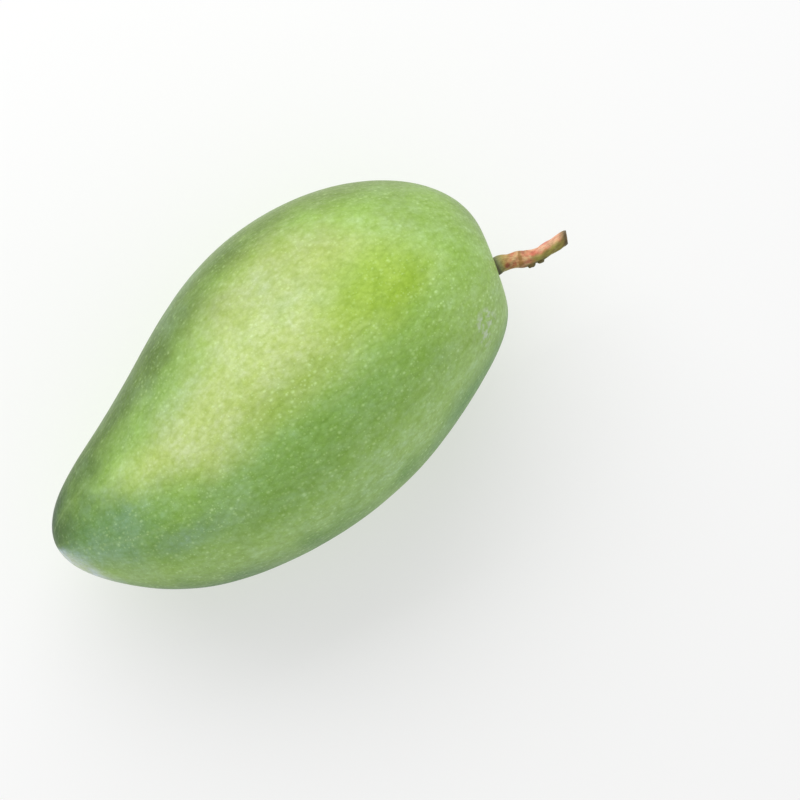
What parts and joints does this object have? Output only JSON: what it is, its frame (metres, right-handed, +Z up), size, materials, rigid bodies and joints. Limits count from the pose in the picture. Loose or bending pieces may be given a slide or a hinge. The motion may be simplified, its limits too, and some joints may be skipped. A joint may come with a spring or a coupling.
{
  "type": "mango",
  "caption": "Whole unripe mango, oval with a blunt curved beak, lying on one cheek with the cut end of its twig in a shallow hollow at its broad end.",
  "frame": {"origin": "on the ground under the middle of the whole, fruit and twig together", "axes": "+X from the apex to the stem, +Y to the ventral side where the edge dips in towards the apex, +Z up"},
  "size_m": [0.1466, 0.0764, 0.0677],
  "materials": {
    "mango_skin": "satin, waxy green skin with fine pale dots and a thin bluish bloom",
    "twig_bark": "matt, young reddish-brown bark, grey-green at the root"
  },
  "bodies": {
    "root": {"fruit": "mango_skin", "stem": "twig_bark"}
  },
  "joints": []
}
